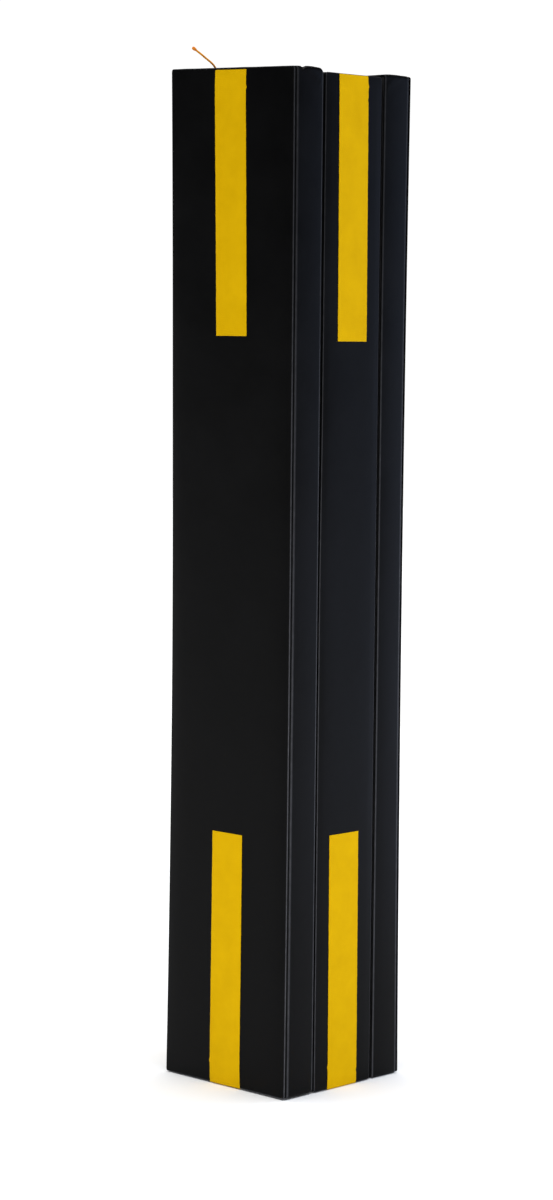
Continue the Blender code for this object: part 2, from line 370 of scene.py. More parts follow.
def set_painted_highlight(piece, wear_and_highlight, pad):
    """Stores each point's painted highlight, for the vinyl's material: stronger lower down."""
    height = np.array([vertex.co.z for vertex in piece.data.vertices])
    share = TOP_HIGHLIGHT + (1 - TOP_HIGHLIGHT) * np.clip((HIGHLIGHT_TO - height) / (HIGHLIGHT_TO - HIGHLIGHT_FROM), 0, 1)
    highlight_attribute = piece.data.attributes.new("painted_edge_highlight", "FLOAT", "POINT")
    highlight_attribute.data.foreach_set("value", (wear_and_highlight * share * PAD_HIGHLIGHT[pad.name]).astype(np.float32))


def add_thickness(piece, thickness):
    """Gives a sheet its thickness, on the side away from its normals."""
    solid = piece.modifiers.new("thickness", "SOLIDIFY")
    solid.thickness = thickness
    solid.offset = -1
    solid.use_quality_normals = True


def bell(offset, width):
    """1 at no offset, falling away smoothly over about the width."""
    return np.exp(-((offset / width) ** 2))


def wander(places, seed, waves=PUCKER_WAVES):
    """A soft unevenness along a line, from -1 to 1."""
    phases = np.random.default_rng(seed).uniform(0, 2 * math.pi, len(waves))
    sines = [np.sin(2 * math.pi * places / wave + phase) for wave, phase in zip(waves, phases)]
    return sum(sines) / len(waves)


def soft_noise(points, size, seed):
    """Perlin noise at points in metres, for lumps about that size."""
    shift = Vector([seed * step for step in NOISE_STEPS])
    return np.array([noise.noise(Vector(point) / size + shift) for point in points])


# -------- cloth simulation


def cloth_swell(pad, seed):
    """How far a face panel swells off its foam, as a grid over its width and height."""
    width, height = pad.right - pad.left, pad.top - pad.low
    columns, rows = round(width / CLOTH_STEP) + 1, round(height / CLOTH_STEP) + 1
    x, z = np.meshgrid(np.linspace(pad.left, pad.right, columns), np.linspace(pad.low, pad.top, rows))
    across = (x - (pad.left + pad.right) / 2) / (width / 2)
    along = (z - (pad.low + pad.top) / 2) / (height / 2)
    cap = FACE_SWELL * width / (WHOLE.right - WHOLE.left)
    points = np.stack([x.ravel(), np.full(x.size, pad.outer), z.ravel()], axis=1)
    lump_height, lump_size = CLOTH_LUMPS
    inside = ((1 - across**2) * (1 - along**2)).ravel()
    points[:, 1] -= lump_height * soft_noise(points, lump_size, seed) * inside
    panel = new_piece("cloth_panel", points, grid_faces(*x.shape))
    sewn = panel.vertex_groups.new(name="sewn")
    sewn.add(rim_of_grid(*x.shape).tolist(), 1.0, "REPLACE")
    cloth = panel.modifiers.new("cloth", "CLOTH")
    cloth.settings.quality = 6
    cloth.settings.mass = 0.3
    cloth.settings.tension_stiffness = 15
    cloth.settings.compression_stiffness = 15
    cloth.settings.shear_stiffness = 10
    cloth.settings.bending_stiffness = 2
    cloth.settings.use_pressure = True
    cloth.settings.uniform_pressure_force = CLOTH_PRESSURE
    cloth.settings.effector_weights.gravity = 0
    cloth.settings.vertex_group_mass = sewn.name
    cloth.point_cache.frame_start = 1
    cloth.point_cache.frame_end = CLOTH_FRAMES
    for step in range(1, CLOTH_FRAMES + 1):
        bpy.context.scene.frame_set(step)
    done = panel.evaluated_get(bpy.context.evaluated_depsgraph_get()).to_mesh()
    moved = np.zeros(len(done.vertices) * 3)
    done.vertices.foreach_get("co", moved)
    outward = (pad.outer - moved.reshape(-1, 3)[:, 1]).reshape(rows, columns)
    bpy.data.meshes.remove(panel.data)
    bpy.context.scene.frame_set(1)
    return cap * np.tanh(np.clip(outward, 0, None) / cap)


def sampled(swell, pad, x, z):
    """The swell between its grid's points."""
    rows, columns = swell.shape
    i = np.clip((x - pad.left) / (pad.right - pad.left) * (columns - 1), 0, columns - 1.001)
    j = np.clip((z - pad.low) / (pad.top - pad.low) * (rows - 1), 0, rows - 1.001)
    i0, j0 = i.astype(int), j.astype(int)
    s, t = i - i0, j - j0
    lower = swell[j0, i0] * (1 - s) + swell[j0, i0 + 1] * s
    upper = swell[j0 + 1, i0] * (1 - s) + swell[j0 + 1, i0 + 1] * s
    return lower * (1 - t) + upper * t


# -------- covers


def cornered(pad, x, z, radius):
    """Rounds the corners of a pad's outline.

    Gives the new places, how far they are in from the outline, and the direction out of it.
    """
    middle = np.array([(pad.left + pad.right) / 2, (pad.low + pad.top) / 2])
    half = np.array([(pad.right - pad.left) / 2, (pad.top - pad.low) / 2]) - radius
    place = np.stack([x, z], axis=-1) - middle
    nearest = np.clip(place, -half, half)
    off = place - nearest
    reach = np.abs(off).max(axis=-1)
    length = np.linalg.norm(off, axis=-1)
    way_out = off / np.where(length > 0, length, 1)[..., None]
    return middle + nearest + way_out * reach[..., None], radius - reach, way_out


def panel_points(pad, x, z, swell):
    """A panel's flat part, turning over at its edges: x, depth behind the pad's face, and z."""
    place, inward, way_out = cornered(pad, x, z, BAND_CORNER)
    turn = np.clip(FOLD_RADIUS - inward, 0, None)
    length = np.hypot(turn, FOLD_RADIUS)
    pull = FOLD_RADIUS - turn * FOLD_RADIUS / length - inward
    place = place + way_out * np.where(turn > 0, -pull, 0)[..., None]
    depth = FOLD_RADIUS - FOLD_RADIUS * FOLD_RADIUS / length - swell
    return np.stack([place[..., 0], depth, place[..., 1]], axis=-1).reshape(-1, 3)


def ring_at(pad, x, z, depth, inward, seed):
    """A ring round the pad, so deep behind its face and so far in from its sides, uneven near the seam."""
    place, _, way_out = cornered(pad, x, z, BAND_CORNER)
    along = np.cumsum(np.hypot(np.diff(x, prepend=x[:1]), np.diff(z, prepend=z[:1])))
    pucker = PUCKER * bell(depth - PANEL_DIP[-1][0], PUCKER_REACH) * wander(along, seed)
    place = place - way_out * (inward + pucker)[..., None]
    return np.stack([place[:, 0], np.full(len(place), depth), place[:, 1]], axis=1)


def pad_grid(pad):
    """The x and z of a grid over the pad's face, finer near its sides."""
    return np.meshgrid(spread_out(pad.left, pad.right, GRID_STEP), spread_out(pad.low, pad.top, GRID_STEP))


def pad_rim(pad):
    """The x and z of the points round that grid."""
    x, z = pad_grid(pad)
    rim = rim_of_grid(*x.shape)
    return x.ravel()[rim], z.ravel()[rim]


def inset(pad, margin):
    """The pad's outline, made smaller all round."""
    smaller = SimpleNamespace(**vars(pad))
    smaller.left, smaller.right = pad.left + margin, pad.right - margin
    smaller.low, smaller.top = pad.low + margin, pad.top - margin
    return smaller


def box_corner(points, pad):
    """Folds the corners at the pad's top. Depths are still behind the pad's face.

    A valley runs in on the slant, with a crown beyond it, creases at the side and a soft corner behind.
    """
    x, depth, z = points.T
    from_side = np.minimum(x - pad.left, pad.right - x)
    near_side = np.clip(1 - from_side / CORNER_REACH, 0, 1) * CORNER_SHARE[pad.name]
    near_top = np.clip((z - pad.top) / CORNER_HEIGHT + 1, 0, 1)
    near_foot = np.clip((pad.low - z) / CORNER_HEIGHT + 1, 0, 1)
    valley = VALLEY_DEPTH * bell(depth - from_side - VALLEY_PLACE, VALLEY_WIDTH)
    crown = CROWN_HEIGHT * bell(depth - CROWN_PLACE, CROWN_WIDTH)
    into_back = np.clip((depth - (pad.inner - pad.outer)) / BACK_REACH + 1, 0, 1)
    out = np.zeros_like(x)
    for start in CREASES:
        line = pad.top - z - CREASE_SLOPE * (depth - start)
        fade = np.clip((depth - start) / CREASE_FADE, 0, 1) * (1 - into_back)
        out += CREASE_HEIGHT * bell(line, CREASE_WIDTH) * fade
    x = x + np.sign(x - (pad.left + pad.right) / 2) * out * bell(from_side, VINYL)
    back = BACK_DROP * into_back**2
    z = z - (valley - crown + back) * near_side * near_top + back / 2 * near_side * near_foot
    return np.stack([x, depth, z], axis=1)


def placed(points, pad):
    """Points with their depth behind the pad's face, put in the world."""
    points = box_corner(points, pad)
    points[:, 1] += pad.outer
    return in_world(points, pad.name)


def make_face_panel(pad, swell, material, seed):
    """Flat over the foam, then turned over the pad's edges and down into the seam."""
    x, z = pad_grid(pad)
    rim = rim_of_grid(*x.shape)
    rim_x, rim_z = pad_rim(pad)
    from_rim = cornered(pad, x, z, BAND_CORNER)[1].ravel()
    points = [panel_points(pad, x, z, swell(x, z))]
    faces = [grid_faces(*x.shape)]
    # Painted highlight along the panel's fold over the pad's edge.
    wear_and_highlight = [FOLD_HIGHLIGHT * bell(from_rim, HIGHLIGHT_WIDTH)]
    turn = np.radians(FOLD_ANGLES)
    fold = [(FOLD_RADIUS * (1 - math.cos(a)), FOLD_RADIUS * (1 - math.sin(a))) for a in turn]
    ring, count = rim, x.size
    for depth, inward in (*fold, *PANEL_DIP):
        points.append(ring_at(pad, rim_x, rim_z, depth, inward, seed))
        next_ring = np.arange(count, count + len(rim))
        faces.append(ring_faces(ring, next_ring))
        wear_and_highlight.append(np.full(len(rim), FOLD_HIGHLIGHT * bell(depth, HIGHLIGHT_WIDTH)))
        ring, count = next_ring, count + len(rim)
    name = f"{pad.name}_pad_cover_face"
    panel = new_piece(name, placed(np.concatenate(points), pad), np.concatenate(faces), material)
    set_painted_highlight(panel, np.concatenate(wear_and_highlight), pad)
    add_thickness(panel, VINYL)
    return panel


def band_profile(pad):
    """The band's rings, from the seam to the hem on the back: (depth, how far in, how much painted
    highlight).
    """
    thickness = pad.inner - pad.outer
    turn_start = thickness - BACK_RADIUS
    flat_start = BAND_DIP[-1][0]
    steps = round((turn_start - flat_start) / BAND_STEP)
    profile = []
    for depth, dip in BAND_DIP:
        # Painted highlight on the seam's shoulder and, below, at the band's turn onto the back.
        profile.append((depth, dip, SHOULDER_HIGHLIGHT * bell(depth - SHOULDER_DEPTH, HIGHLIGHT_WIDTH)))
    profile += [(depth, 0, 0) for depth in np.linspace(flat_start, turn_start, steps + 1)[1:-1]]
    profile += [(turn_start + before, 0, highlight) for before, highlight in BACK_HIGHLIGHT]
    for angle, highlight in BACK_TURN_HIGHLIGHT:
        a = math.radians(angle)
        profile.append((turn_start + BACK_RADIUS * math.sin(a), BACK_RADIUS * (1 - math.cos(a)), highlight))
    profile += [(thickness - dip, inward, 0) for dip, inward in BACK_HEM]
    return profile


def make_band(pad, material, seed):
    """The band round the pad's four edges, from the seam by the face to the hem on the back."""
    rim_x, rim_z = pad_rim(pad)
    ring = np.arange(len(rim_x))
    thickness = pad.inner - pad.outer
    points, faces, wear_and_highlight = [], [], []
    for i, (depth, inward, highlight) in enumerate(band_profile(pad)):
        swell = BAND_SWELL[pad.name] * max(math.sin(math.pi * depth / thickness), 0) ** BAND_FULLNESS
        points.append(ring_at(pad, rim_x, rim_z, depth, inward - swell, seed))
        # Painted highlight for each ring, from the profile.
        wear_and_highlight.append(np.full(len(ring), highlight))
        if i:
            faces.append(ring_faces(ring + (i - 1) * len(ring), ring + i * len(ring)))
    name = f"{pad.name}_pad_cover_band"
    band = new_piece(name, placed(np.concatenate(points), pad), np.concatenate(faces), material)
    set_painted_highlight(band, np.concatenate(wear_and_highlight), pad)
    add_thickness(band, VINYL)
    return band


def make_inner_panel(pad, swell, material):
    """The panel against the post, inside the band's hem: flat, with its edge turned down into the seam."""
    inside = inset(pad, HEM_WIDTH)
    x, z = pad_grid(inside)
    place, from_rim, _ = cornered(inside, x, z, BAND_CORNER - HEM_WIDTH)
    thickness = pad.inner - pad.outer
    depth = thickness + swell(x, z) - HEM_DIP * bell(from_rim, HEM_DIP)
    flat = np.stack([place[..., 0], depth, place[..., 1]], axis=-1).reshape(-1, 3)
    rim = rim_of_grid(*x.shape)
    edge = flat[rim]
    edge[:, 1] = thickness - 2 * HEM_DIP
    turned_down = ring_faces(rim, np.arange(len(rim)) + x.size)
    faces = np.concatenate([grid_faces(*x.shape), turned_down])[:, ::-1]
    name = f"{pad.name}_pad_cover_inner"
    panel = new_piece(name, placed(np.concatenate([flat, edge]), pad), faces, material)
    set_painted_highlight(panel, np.zeros(x.size + len(rim)), pad)
    add_thickness(panel, VINYL)
    return panel


def make_core(pad, material):
    """The foam block: a closed shape with rounded edges, just inside the cover."""
    inside = inset(pad, CORE_INSET)
    outer, inner = VINYL * 2, pad.inner - pad.outer - VINYL * 2
    x, z = np.meshgrid(
        spread_out(inside.left, inside.right, CORE_STEPS[0], CORE_EDGE),
        spread_out(inside.low, inside.top, CORE_STEPS[1], CORE_EDGE),
    )
    rim = rim_of_grid(*x.shape)
    place, inward, way_out = cornered(inside, x, z, CORE_RADIUS)
    turn = np.clip(CORE_RADIUS - inward, 0, None)
    length = np.hypot(turn, CORE_RADIUS)
    drop = CORE_RADIUS - CORE_RADIUS**2 / length
    pull = np.where(turn > 0, CORE_RADIUS - turn * CORE_RADIUS / length - inward, 0)
    capped = place - way_out * pull[..., None]
    points = [np.stack([capped[..., 0], outer + drop, capped[..., 1]], axis=-1).reshape(-1, 3)]
    points.append(np.stack([capped[..., 0], inner - drop, capped[..., 1]], axis=-1).reshape(-1, 3))
    sides = place.reshape(-1, 2)[rim]
    for depth in (outer + CORE_RADIUS, (outer + inner) / 2, inner - CORE_RADIUS):
        points.append(np.stack([sides[:, 0], np.full(len(rim), depth), sides[:, 1]], axis=1))
    grid = grid_faces(*x.shape)
    rings = [rim, *[np.arange(len(rim)) + 2 * x.size + i * len(rim) for i in range(3)], rim + x.size]
    faces = [grid, grid[:, ::-1] + x.size, *[ring_faces(a, b) for a, b in zip(rings, rings[1:])]]
    name = f"{pad.name}_pad_foam"
    return new_piece(name, placed(np.concatenate(points), pad), np.concatenate(faces), material)


# -------- tape


def nick(pad_name, end, side, from_end):
    """How far a strip's cut edge stands out at a distance from the pad's end."""
    out = np.zeros_like(from_end)
    for nick_side, place, size in TAPE_NICKS.get((pad_name, end), ()):
        if nick_side == side:
            out += side * size * bell(from_end - place, NICK_SIZE)
    return out


def make_tape(pad, end, swell, material, seed):
    """One strip, laid on the face panel. The bottom ones turn under the pad's edge."""
    low, high = front_box(f"{pad.name}_pad_{end}_tape", pad.name)
    start_shift, stop_shift = TAPE_ENDS.get((pad.name, end), (0, 0))
    start = pad.low - TAPE_UNDER if end == "bottom" else low[2] + start_shift
    stop = high[2] + stop_shift
    rows = round((stop - start) / TAPE_ROW) + 1
    length = np.linspace(start, stop, rows)
    share = (length - start) / (stop - start)
    lower, upper = TAPE_LEAN[(pad.name, end)]
    lean = lower + (upper - lower) * share
    from_end = np.abs(length - (pad.top if end == "top" else pad.low))
    edges = []
    for side, x in ((-1, low[0]), (1, high[0])):
        cut = TAPE_WANDER * wander(length, seed + side, TAPE_WAVES)
        edges.append(x + lean + cut + nick(pad.name, end, side, from_end))
    near_side = np.array(TAPE_EDGE)
    across = np.concatenate([near_side, np.linspace(*TAPE_INSIDE), 1 - near_side[::-1]])
    x = edges[0][:, None] * (1 - across) + edges[1][:, None] * across
    z = np.repeat(length[:, None], len(across), axis=1)
    angle = np.clip((pad.low + FOLD_RADIUS - z) / FOLD_RADIUS, 0, None)
    lift = TAPE_LIFT + TAPE_THICKNESS + RIB_HEIGHT * np.sin(2 * math.pi * z / RIB_PITCH)
    radius = FOLD_RADIUS + lift
    under = sampled(swell, pad, x, np.clip(z, pad.low, pad.top))
    y = pad.outer + FOLD_RADIUS - radius * np.cos(angle) - under
    z = np.where(angle > 0, pad.low + FOLD_RADIUS - radius * np.sin(angle), z)
    points = np.stack([x, y, z], axis=-1).reshape(-1, 3)
    faces = grid_faces(rows, len(across))
    tape = new_piece(f"{pad.name}_pad_{end}_strip", in_world(points, pad.name), faces, material)
    add_thickness(tape, TAPE_THICKNESS)
    return tape


# -------- hinge strips and closure


def strip_outline(outer_x, leaf_end_x, half_width, thickness):
    """A closed outline of a strip folded once, with its fold towards outer_x."""
    side = math.copysign(1, outer_x)
    outline = []
    outside, inside = STRIP_TURN
    for radius, angles in ((half_width, (-90, 90, outside)), (half_width - thickness, (90, -90, inside))):
        centre = abs(outer_x) - half_width
        turn = [math.radians(angle) for angle in np.linspace(*angles)]
        arc = [(side * (centre + radius * math.cos(a)), radius * math.sin(a)) for a in turn]
        start, end = math.copysign(radius, arc[0][1]), math.copysign(radius, arc[-1][1])
        leaf = np.linspace(abs(leaf_end_x), centre, STRIP_LEAF)[:-1] * side
        outline += [(x, start) for x in leaf] + arc + [(x, end) for x in leaf[::-1]]
    return np.array(outline)


def make_hinge_strip(carrier, child, material):
    """A strip folded once in the gap between two pads, closed at its ends."""
    node = f"hinge_strip_{carrier}_{child}"
    low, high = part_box(node)
    joint_y = (low.y + high.y) / 2
    outer_x, leaf_end_x = (high.x, low.x) if high.x > 0 else (low.x, high.x)
    fold_x = outer_x - math.copysign(STRIP_RECESS, outer_x)
    outline = strip_outline(fold_x, leaf_end_x, (high.y - low.y) / 2, STRIP_THICKNESS)
    if outer_x < 0:
        outline = outline[::-1]
    rows = round((high.z - low.z) / STRIP_ROW) + 1
    points = np.array([(x, joint_y + y, z) for z in np.linspace(low.z, high.z, rows) for x, y in outline])
    rings = [np.arange(len(outline)) + row * len(outline) for row in range(rows)]
    faces = tube_faces(rings) + [rings[0][::-1], rings[-1]]
    strip = new_piece(f"{node}_fold", settled(points), faces, material)
    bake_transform(strip)
    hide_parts(node)
    return strip


def make_closure_strip(kind, body, facing, material, seed):
    """A hook or loop strip: a base with flat woven edges, and an uneven pile on its facing side."""
    node = f"closure_{kind}_strip"
    low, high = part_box(node)
    columns = round((high.x - low.x) / PILE_STEP) + 1
    rows = round((high.z - low.z) / PILE_STEP) + 1
    x, z = np.meshgrid(np.linspace(low.x, high.x, columns), np.linspace(low.z, high.z, rows))
    back, front = (low.y, high.y) if facing > 0 else (high.y, low.y)
    from_edge = np.minimum(x - low.x, high.x - x)
    pile = np.clip(from_edge / SELVEDGE - 0.5, 0, 1)
    lumps = np.random.default_rng(seed).uniform(*PILE_LUMPS, x.shape)
    y = front - facing * (PILE_HEIGHT * (1 - pile) + PILE_HEIGHT * pile * lumps)
    points = np.concatenate([
        np.stack([x, y, z], axis=-1).reshape(-1, 3),
        np.stack([x, np.full(x.shape, back), z], axis=-1).reshape(-1, 3),
    ])
    grid = grid_faces(*x.shape)
    rim = rim_of_grid(*x.shape)
    faces = np.concatenate([grid, grid[:, ::-1] + x.size, ring_faces(rim, rim + x.size)])
    if facing > 0:
        faces = faces[:, ::-1]
    strip = new_piece(f"{node}_pile", settled(points), faces, material)
    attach(strip, body)
    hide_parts(node)
    return strip


# -------- cord


def cord_route():
    """The cord's points, as in the CAD: up out of the closing joint, then leaning out over the corner."""
    low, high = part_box("closure_loop_strip")
    x, y, top = (low.x + high.x) / 2, -JOINT_Y, WHOLE.top
    return (
        (x, y, top - 0.025),
        (x, y, top - 0.012),
        (x, y, top),
        (x - 0.0005, y - 0.0005, top + 0.0060),
        (x - 0.0017, y - 0.0017, top + 0.0110),
        (x - 0.0046, y - 0.0046, top + 0.0160),
        (x - 0.0094, y - 0.0094, top + 0.0215),
        (x - 0.0136, y - 0.0136, top + 0.0264),
        (x - 0.0175, y - 0.0175, top + 0.0306),
    )


def smooth_line(route, spacing):
    """Points about spacing apart along a smooth curve through the route's points."""
    knots = [Vector(p) for p in route]
    knots = [2 * knots[0] - knots[1]] + knots + [2 * knots[-1] - knots[-2]]
    points = [knots[1]]
    for before, start, end, after in zip(knots, knots[1:], knots[2:], knots[3:]):
        steps = max(1, math.ceil((end - start).length / spacing))
        for i in range(1, steps + 1):
            t = i / steps
            straight = 2 * start + (end - before) * t
            bend = (2 * before - 5 * start + 4 * end - after) * t**2
            twist = (3 * start - before - 3 * end + after) * t**3
            points.append((straight + bend + twist) / 2)
    return points


def make_cord(material):
    """A cord of twisted strands: a round tube grooved between its strands."""
    line = smooth_line(cord_route(), CORD_STEP)
    points, along = [], 0.0
    for i, place in enumerate(line):
        ahead, behind = line[min(i + 1, len(line) - 1)], line[max(i - 1, 0)]
        way = (ahead - behind).normalized()
        turn = way.to_track_quat("Z", "Y")
        along += (place - line[i - 1]).length if i else 0
        for side in range(CORD_SIDES):
            angle = 2 * math.pi * side / CORD_SIDES
            strand = CORD_STRANDS / 2 * (angle - 2 * math.pi * along / CORD_TWIST_PITCH)
            radius = CORD_DIAMETER / 2 * (1 - CORD_GROOVE * (1 - abs(math.cos(strand))))
            points.append(place + turn @ Vector((radius * math.cos(angle), radius * math.sin(angle), 0)))
    rings = [np.arange(CORD_SIDES) + i * CORD_SIDES for i in range(len(line))]
    faces = tube_faces(rings) + [rings[0][::-1], rings[-1]]
    cord = new_piece("pull_cord_twist", points, faces, material)
    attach(cord, "left_pad")
    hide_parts("pull_cord")
    return cord, line


def make_tip(line, material):
    """The melted end: a lumpy bead drawn out along the cord, with a slight waist."""
    low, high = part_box("pull_cord_knot")
    middle = (low + high) / 2
    way = (line[-1] - line[-2]).normalized()
    turn = way.to_track_quat("Z", "Y")
    half_length = (middle - line[-1]).length
    swelling, often = TIP_WAIST
    lump_height, lump_size = TIP_LUMPS
    points = [tuple(middle - way * half_length)]
    for j in range(1, TIP_RINGS):
        polar = math.pi * j / TIP_RINGS
        radius = TIP_RADIUS * math.sin(polar) * (1 + swelling * math.sin(often * polar))
        for i in range(TIP_SIDES):
            angle = 2 * math.pi * i / TIP_SIDES
            out = Vector((math.cos(angle), math.sin(angle), 0)) * radius
            spot = middle + turn @ (out - Vector((0, 0, half_length * math.cos(polar))))
            lump = lump_height * noise.noise(spot / lump_size)
            points.append(tuple(spot + (spot - middle).normalized() * lump))
    points.append(tuple(middle + way * half_length))
    last = len(points) - 1
    loops = [np.arange(TIP_SIDES) + 1 + j * TIP_SIDES for j in range(TIP_RINGS - 1)]
    faces = tube_faces(loops)
    faces += [(0, after, before) for before, after in zip(loops[0], np.roll(loops[0], -1))]
    faces += [(last, before, after) for before, after in zip(loops[-1], np.roll(loops[-1], -1))]
    tip = new_piece("pull_cord_melted_tip", points, faces, material)
    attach(tip, "left_pad")
    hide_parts("pull_cord_knot")
    return tip


# -------- materials


def new_material(name, roughness, **sockets):
    """A Principled material with the values that are the same all over set on its own sockets."""
    material = bpy.data.materials.new(name)
    material.use_nodes = True
    shader = material.node_tree.nodes["Principled BSDF"]
    shader.inputs["Roughness"].default_value = roughness
    for socket, value in sockets.items():
        shader.inputs[socket.replace("_", " ")].default_value = value
    return material, material.node_tree, shader


def texture(tree, kind, scale, **settings):
    """A procedural texture in metres of the object's own space."""
    place = tree.nodes.new("ShaderNodeTexCoord")
    node = tree.nodes.new(kind)
    node.inputs["Scale"].default_value = scale
    for setting, value in settings.items():
        if setting in node.inputs.keys():
            node.inputs[setting].default_value = value
        else:
            setattr(node, setting, value)
    tree.links.new(place.outputs["Object"], node.inputs["Vector"])
    return node


def colour_between(tree, shader, factor, dark, light, low=0.35, high=0.65):
    """The base colour, moving between two colours with a texture."""
    ramp = tree.nodes.new("ShaderNodeValToRGB")
    ramp.color_ramp.elements[0].position = low
    ramp.color_ramp.elements[0].color = (*dark, 1)
    ramp.color_ramp.elements[1].position = high
    ramp.color_ramp.elements[1].color = (*light, 1)
    tree.links.new(factor, ramp.inputs["Fac"])
    tree.links.new(ramp.outputs["Color"], shader.inputs["Base Color"])


def stretched(tree, factor, source, target):
    """A texture's output, stretched from one range to another."""
    spread = tree.nodes.new("ShaderNodeMapRange")
    for limits, name in ((source, "From"), (target, "To")):
        spread.inputs[f"{name} Min"].default_value = limits[0]
        spread.inputs[f"{name} Max"].default_value = limits[1]
    tree.links.new(factor, spread.inputs["Value"])
    return spread.outputs["Result"]


def roughness_between(tree, shader, factor, low, high):
    """The roughness, moving between two values with a texture."""
    tree.links.new(stretched(tree, factor, (0.3, 0.7), (low, high)), shader.inputs["Roughness"])


def add_bumps(tree, shader, *layers):
    """Bump layers, each (texture output, height in metres, strength), one on top of the other."""
    normal = None
    for height, distance, strength in layers:
        bump = tree.nodes.new("ShaderNodeBump")
        bump.inputs["Strength"].default_value = strength
        bump.inputs["Distance"].default_value = distance
        tree.links.new(height, bump.inputs["Height"])
        if normal is not None:
            tree.links.new(normal, bump.inputs["Normal"])
        normal = bump.outputs["Normal"]
    tree.links.new(normal, shader.inputs["Normal"])


def paint_fold_highlights(tree, shader, highlight_colour):
    """Paints highlights into the colour along the folds and seam shoulders, in broken patches."""
    highlight_attribute = tree.nodes.new("ShaderNodeAttribute")
    highlight_attribute.attribute_name = "painted_edge_highlight"
    patches = texture(tree, "ShaderNodeTexNoise", 120, Detail=3.0)
    share = stretched(tree, patches.outputs["Fac"], (0.25, 0.75), (0.6, 1))
    times = tree.nodes.new("ShaderNodeMath")
    times.operation = "MULTIPLY"
    mix = tree.nodes.new("ShaderNodeMix")
    mix.data_type = "RGBA"
    mix.inputs[7].default_value = (*highlight_colour, 1)
    before = shader.inputs["Base Color"].links[0].from_socket
    tree.links.new(share, times.inputs[0])
    tree.links.new(highlight_attribute.outputs["Fac"], times.inputs[1])
    tree.links.new(times.outputs["Value"], mix.inputs[0])
    tree.links.new(before, mix.inputs[6])
    tree.links.new(mix.outputs[2], shader.inputs["Base Color"])


def vinyl_material(name, dark, light, roughness, specular):
    """Coated vinyl: a fine pebbled grain, soft handling marks, a faint change of colour and painted
    highlights along its folds.
    """
    material, tree, shader = new_material(name, roughness, Specular_IOR_Level=specular)
    marks = texture(tree, "ShaderNodeTexNoise", 9, Detail=4.0, Roughness=0.55)
    grain = texture(tree, "ShaderNodeTexVoronoi", 850, feature="SMOOTH_F1", Smoothness=0.6)
    fine = texture(tree, "ShaderNodeTexNoise", 2600, Detail=2.0)
    waves = texture(tree, "ShaderNodeTexNoise", 26, Detail=2.0)
    colour_between(tree, shader, marks.outputs["Fac"], dark, light)
    # Painted highlights along the folds and seam shoulders.
    paint_fold_highlights(tree, shader, PAINTED_HIGHLIGHT_GREY)
    roughness_between(tree, shader, marks.outputs["Fac"], roughness - 0.05, roughness + 0.07)
    add_bumps(
        tree,
        shader,
        (waves.outputs["Fac"], 0.0006, 0.35),
        (grain.outputs["Distance"], 0.0001, 0.22),
        (fine.outputs["Fac"], 0.00005, 0.12),
    )
    return material


def tape_material():
    """Matte yellow tape: woven ribs, fine grain and slightly worn patches."""
    material, tree, shader = new_material("yellow_tape_matte", 0.55, Specular_IOR_Level=0.015)
    wear_and_highlight = texture(tree, "ShaderNodeTexNoise", 30, Detail=5.0, Roughness=0.6)
    rib_scale = 1 / RIB_PITCH / WAVE_BANDS
    ribs = texture(tree, "ShaderNodeTexWave", rib_scale, bands_direction="Z", Distortion=0.6)
    grain = texture(tree, "ShaderNodeTexNoise", 1500, Detail=3.0)
    colour_between(tree, shader, wear_and_highlight.outputs["Fac"], *TAPE_YELLOW, low=0.3, high=0.7)
    roughness_between(tree, shader, wear_and_highlight.outputs["Fac"], 0.5, 0.62)
    add_bumps(tree, shader, (ribs.outputs["Fac"], 0.00006, 0.25), (grain.outputs["Fac"], 0.00008, 0.2))
    return material


def foam_material():
    """Open-cell foam: pale grey, matte and pitted."""
    material, tree, shader = new_material("foam_open_cell", 0.95, Specular_IOR_Level=0.2)
    cells = texture(tree, "ShaderNodeTexVoronoi", 600)
    tone = texture(tree, "ShaderNodeTexNoise", 40, Detail=3.0)
    colour_between(tree, shader, tone.outputs["Fac"], *FOAM_GREY)
    add_bumps(tree, shader, (cells.outputs["Distance"], 0.0006, 0.8))
    return material


def pile_material():
    """Hook and loop: black nylon with a fuzzy, broken surface."""
    material, tree, shader = new_material("hook_and_loop_pile", 0.9, Sheen_Weight=0.35, Sheen_Roughness=0.5)
    fuzz = texture(tree, "ShaderNodeTexVoronoi", 1300)
    tone = texture(tree, "ShaderNodeTexNoise", 900, Detail=4.0)
    colour_between(tree, shader, tone.outputs["Fac"], *PILE_BLACK)
    add_bumps(tree, shader, (fuzz.outputs["Distance"], 0.0006, 0.9))
    return material


def cord_material(name, dark, light, roughness, specular):
    """Nylon: slightly uneven in colour, with fine fibres."""
    material, tree, shader = new_material(name, roughness, Specular_IOR_Level=specular)
    tone = texture(tree, "ShaderNodeTexNoise", 420, Detail=4.0)
    fibres = texture(tree, "ShaderNodeTexNoise", 3200, Detail=2.0)
    colour_between(tree, shader, tone.outputs["Fac"], dark, light)
    add_bumps(tree, shader, (fibres.outputs["Fac"], 0.0001, 0.4))
    return material


# -------- stage


def towards(azimuth, elevation):
    """The way from the object to a camera or a light. Azimuth 0 is at -Y and 90 degrees at +X."""
    across = math.cos(elevation)
    return Vector((math.sin(azimuth) * across, -math.cos(azimuth) * across, math.sin(elevation)))


def camera_axes():
    """The camera's right, up and backward directions."""
    back = towards(CAMERA_AZIMUTH, CAMERA_ELEVATION)
    right = (-back).cross(Vector((0, 0, 1))).normalized()
    up = right.cross(-back)
    c, s = math.cos(CAMERA_ROLL), math.sin(CAMERA_ROLL)
    return c * right + s * up, c * up - s * right, back


def make_camera():
    """The camera, standing a little above the middle of the object and looking slightly down."""
    data = bpy.data.cameras.new("camera")
    data.lens = CAMERA_LENS
    data.sensor_width = 36
    camera = bpy.data.objects.new("camera", data)
    camera.matrix_world = Matrix.Translation(CAMERA_PLACE) @ Matrix(camera_axes()).transposed().to_4x4()
    bpy.context.scene.collection.objects.link(camera)
    bpy.context.scene.camera = camera


